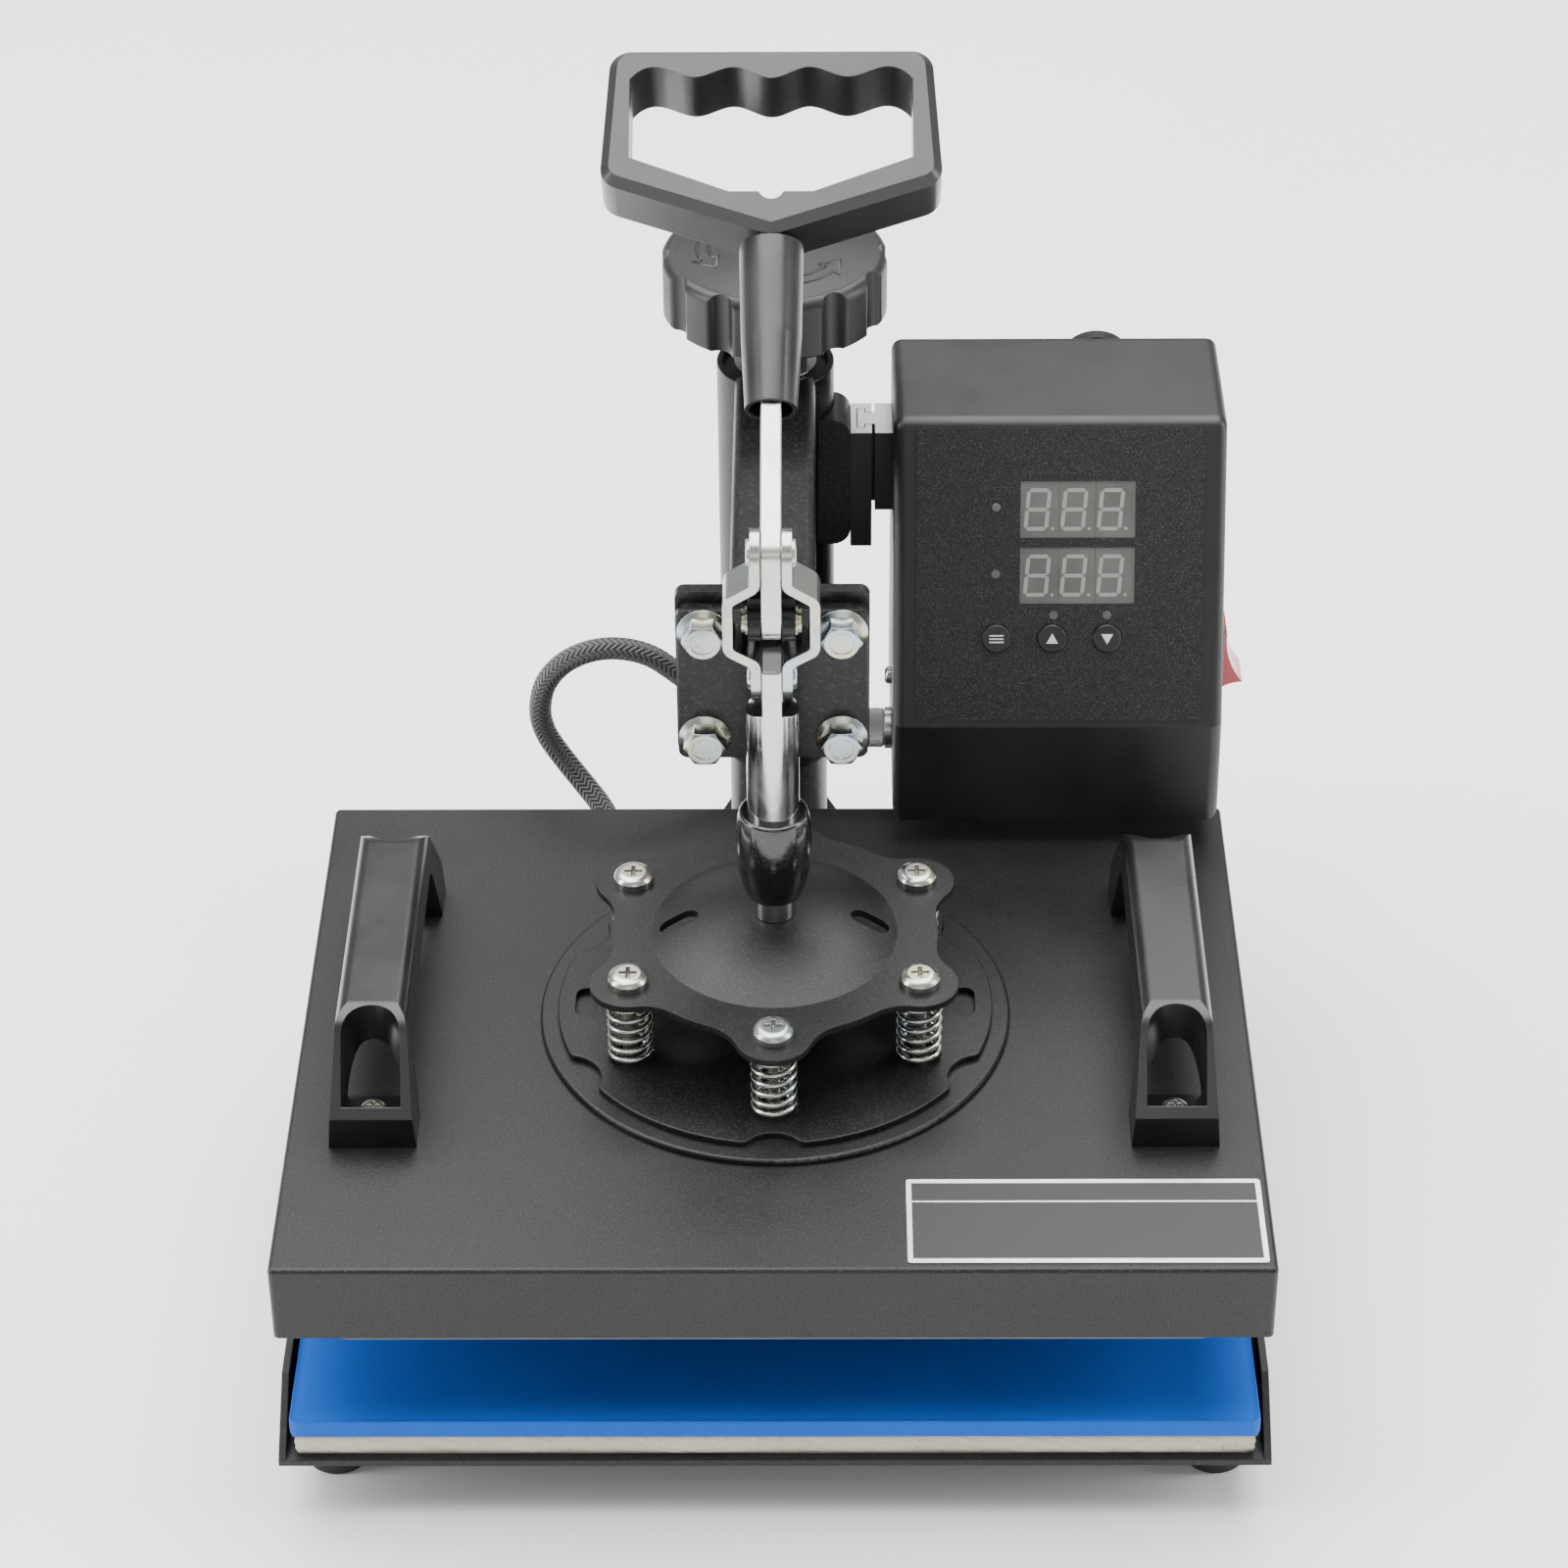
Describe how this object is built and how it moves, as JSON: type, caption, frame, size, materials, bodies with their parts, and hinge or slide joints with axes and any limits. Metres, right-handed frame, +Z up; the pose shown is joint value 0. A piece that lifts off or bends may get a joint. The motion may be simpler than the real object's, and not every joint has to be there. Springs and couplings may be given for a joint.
{
  "type": "mug heat press",
  "caption": "Benchtop heat press with a flat heated plate that a toggle lever presses onto a padded lower bed, on an arm that swings around a rear post.",
  "frame": {"origin": "on the bench surface directly under the press axis, which is the plunger's axis", "axes": "+Z up along the plunger, -Y towards the operator, +X to the operator's right"},
  "size_m": [0.411, 0.4267, 0.5051],
  "materials": {
    "arm_beam": "gloss black",
    "arm_bushes": "bronze",
    "arm_flange": "gloss black",
    "arm_sleeve": "gloss black",
    "base_crossbars": "black powder coat",
    "base_rails": "black powder coat",
    "base_screws": "zinc",
    "box_back_cover": "black",
    "box_front_shell": "matt",
    "box_screws": "zinc",
    "box_tab": "cut edge",
    "cable_grommet": "matt",
    "carry_handle_left": "satin",
    "carry_handle_right": "satin",
    "circuit_board": "board",
    "clevis_ears": "gloss black",
    "connector_plug": "plated, knurled",
    "connector_socket": "plated",
    "cord_gland": "satin",
    "digit_displays": "window",
    "down_button": "printed symbol",
    "felt_pad": "felt",
    "fixed_rail": "black",
    "grip_handle": "satin",
    "guide_sleeve": "gloss black",
    "handle_screws": "zinc",
    "heater_cable": "braided sleeve",
    "heater_plate": "cast, coated",
    "heating_element": "plain",
    "indicator_lamps": "lens",
    "insulation_pad": "mineral wool",
    "label_plate": "brushed, blank",
    "lever_bar": "zinc",
    "lower_tray": "black powder coat",
    "overlay_panel": "fine grain film",
    "pivot_pin": "zinc",
    "plate_bolts": "zinc",
    "platen_cover": "fine textured black",
    "platen_springs": "spring steel",
    "plunger_rod": "chrome",
    "post_nut": "plain",
    "post_plate": "black powder coat",
    "post_tube": "bright",
    "pressure_disc": "satin black",
    "pressure_knob": "satin",
    "pressure_spindle": "plain",
    "rocker": "red",
    "rubber_feet": "matt",
    "set_button": "printed symbol",
    "silicone_mat": "matt blue",
    "slider_rail": "cut edge",
    "spider_plate": "gloss black",
    "spring_screws": "zinc",
    "spring_seat_plate": "satin black",
    "switch_housing": "satin",
    "thrust_washer": "plain",
    "toggle_links": "zinc",
    "toggle_plate": "gloss black",
    "toggle_rivets": "zinc",
    "up_button": "printed symbol"
  },
  "bodies": {
    "base": {"base_rails": "base_rails", "base_crossbars": "base_crossbars", "post_plate": "post_plate", "post_tube": "post_tube", "post_nut": "post_nut", "lower_tray": "lower_tray", "felt_pad": "felt_pad", "silicone_mat": "silicone_mat", "rubber_feet": "rubber_feet", "base_screws": "base_screws"},
    "carriage": {"thrust_washer": "thrust_washer"},
    "knob": {"pressure_knob": "pressure_knob", "pressure_spindle": "pressure_spindle"},
    "arm": {"arm_sleeve": "arm_sleeve", "arm_bushes": "arm_bushes", "arm_beam": "arm_beam", "arm_flange": "arm_flange", "toggle_plate": "toggle_plate", "clevis_ears": "clevis_ears", "pivot_pin": "pivot_pin", "plate_bolts": "plate_bolts", "guide_sleeve": "guide_sleeve", "box_tab": "box_tab", "fixed_rail": "fixed_rail", "slider_rail": "slider_rail", "box_front_shell": "box_front_shell", "box_back_cover": "box_back_cover", "box_screws": "box_screws", "overlay_panel": "overlay_panel", "digit_displays": "digit_displays", "indicator_lamps": "indicator_lamps", "circuit_board": "circuit_board", "switch_housing": "switch_housing", "cord_gland": "cord_gland", "connector_socket": "connector_socket", "connector_plug": "connector_plug", "heater_cable": "heater_cable"},
    "lever": {"lever_bar": "lever_bar", "grip_handle": "grip_handle"},
    "link": {"toggle_links": "toggle_links", "toggle_rivets": "toggle_rivets"},
    "plunger": {"plunger_rod": "plunger_rod", "spider_plate": "spider_plate"},
    "platen": {"spring_seat_plate": "spring_seat_plate", "pressure_disc": "pressure_disc", "platen_cover": "platen_cover", "heater_plate": "heater_plate", "heating_element": "heating_element", "insulation_pad": "insulation_pad", "carry_handle_left": "carry_handle_left", "carry_handle_right": "carry_handle_right", "handle_screws": "handle_screws", "spring_screws": "spring_screws", "platen_springs": "platen_springs", "cable_grommet": "cable_grommet", "label_plate": "label_plate"},
    "set_button": {"set_button": "set_button"},
    "up_button": {"up_button": "up_button"},
    "down_button": {"down_button": "down_button"},
    "rocker_body": {"rocker": "rocker"}
  },
  "joints": [
    {"name": "arm_height", "type": "slide", "parent": "base", "child": "carriage", "axis": [0, 0, 1], "range_m": [-0.001, 0.01]},
    {"name": "pressure_knob", "type": "hinge", "parent": "carriage", "child": "knob", "pos_m": [0, 0.216, 0.376], "axis": [0, 0, 1], "range_deg": [-180.1, 1800.1]},
    {"name": "arm_swing", "type": "hinge", "parent": "carriage", "child": "arm", "pos_m": [0, 0.216, 0.3], "axis": [0, 0, 1], "range_deg": [-180, 180]},
    {"name": "lever", "type": "hinge", "parent": "arm", "child": "lever", "pos_m": [0, 0, 0.34], "axis": [1, 0, 0], "range_deg": [0, 115]},
    {"name": "link_swing", "type": "hinge", "parent": "lever", "child": "link", "pos_m": [0, 0, 0.372], "axis": [1, 0, 0], "range_deg": [-85.1, 0.1]},
    {"name": "press", "type": "slide", "parent": "arm", "child": "plunger", "axis": [0, 0, 1], "range_m": [-0.0378, 0.00005], "deforming": ["heater_cable"]},
    {"name": "platen_float", "type": "slide", "parent": "plunger", "child": "platen", "axis": [0, 0, 1], "range_m": [0, 0.004], "stiffness_N_per_m": 18000, "springref_m": -0.005, "deforming": ["platen_springs"]},
    {"name": "set_press", "type": "slide", "parent": "arm", "child": "set_button", "axis": [0, 0.926, -0.3774], "range_m": [0, 0.0008], "stiffness_N_per_m": 900, "springref_m": -0.0006},
    {"name": "up_press", "type": "slide", "parent": "arm", "child": "up_button", "axis": [0, 0.926, -0.3774], "range_m": [0, 0.0008], "stiffness_N_per_m": 900, "springref_m": -0.0006},
    {"name": "down_press", "type": "slide", "parent": "arm", "child": "down_button", "axis": [0, 0.926, -0.3774], "range_m": [0, 0.0008], "stiffness_N_per_m": 900, "springref_m": -0.0006},
    {"name": "power_switch", "type": "hinge", "parent": "arm", "child": "rocker_body", "pos_m": [0.196, 0.168, 0.211], "axis": [0, 1, 0], "range_deg": [0, 22]}
  ],
  "couplings": [
    {"joint": "pressure_knob", "follows": "arm_height", "rad_per_m": 3141.6},
    {"joint": "link_swing", "follows": "lever", "ratio": -0.73913},
    {"joint": "press", "follows": "lever", "m_per_rad": -0.018809}
  ]
}
